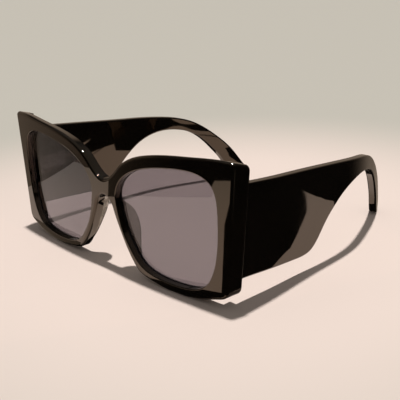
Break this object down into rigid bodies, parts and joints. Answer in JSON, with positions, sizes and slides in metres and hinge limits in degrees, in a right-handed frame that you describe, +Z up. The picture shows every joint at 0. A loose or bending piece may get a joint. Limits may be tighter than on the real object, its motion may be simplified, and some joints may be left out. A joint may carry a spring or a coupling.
{
  "type": "butterfly sunglasses",
  "caption": "Oversized butterfly sunglasses with a thick wrapped front, smoke lenses and very wide temples that narrow to a curved ear end and fold on barrel hinges.",
  "frame": {"origin": "middle of the footprint, on the surface that the open glasses stand on: the rims' lowest flats and the temple tips", "axes": "+X to the wearer's left, +Y from the front to the ear tips, +Z up"},
  "size_m": [0.142, 0.134, 0.0568],
  "materials": {
    "acetate": "polished black",
    "pad": "polished, smoky and partly see-through",
    "lens": "smoke tint",
    "hinge": "satin nickel silver",
    "screw": "bright",
    "wire": "satin nickel silver"
  },
  "bodies": {
    "front": {"frame_front": "acetate", "end_block_left": "acetate", "nose_pad_left": "pad", "lens_left": "lens", "hinge_front_leaf_left": "hinge", "hinge_screw_left": "screw", "front_leaf_screws_left": "screw", "end_block_right": "acetate", "nose_pad_right": "pad", "lens_right": "lens", "hinge_front_leaf_right": "hinge", "hinge_screw_right": "screw", "front_leaf_screws_right": "screw"},
    "temple_left": {"temple_left": "acetate", "core_wire_left": "wire", "hinge_temple_leaf_left": "hinge", "temple_leaf_screws_left": "screw"},
    "temple_right": {"temple_right": "acetate", "core_wire_right": "wire", "hinge_temple_leaf_right": "hinge", "temple_leaf_screws_right": "screw"}
  },
  "joints": [
    {"name": "fold_left", "type": "hinge", "parent": "front", "child": "temple_left", "pos_m": [0.06513, -0.05435, 0.0306], "axis": [0.0997, 0, 0.995], "range_deg": [0, 82.5]},
    {"name": "fold_right", "type": "hinge", "parent": "front", "child": "temple_right", "pos_m": [-0.06513, -0.05435, 0.0306], "axis": [0.0997, 0, -0.995], "range_deg": [0, 70]}
  ]
}
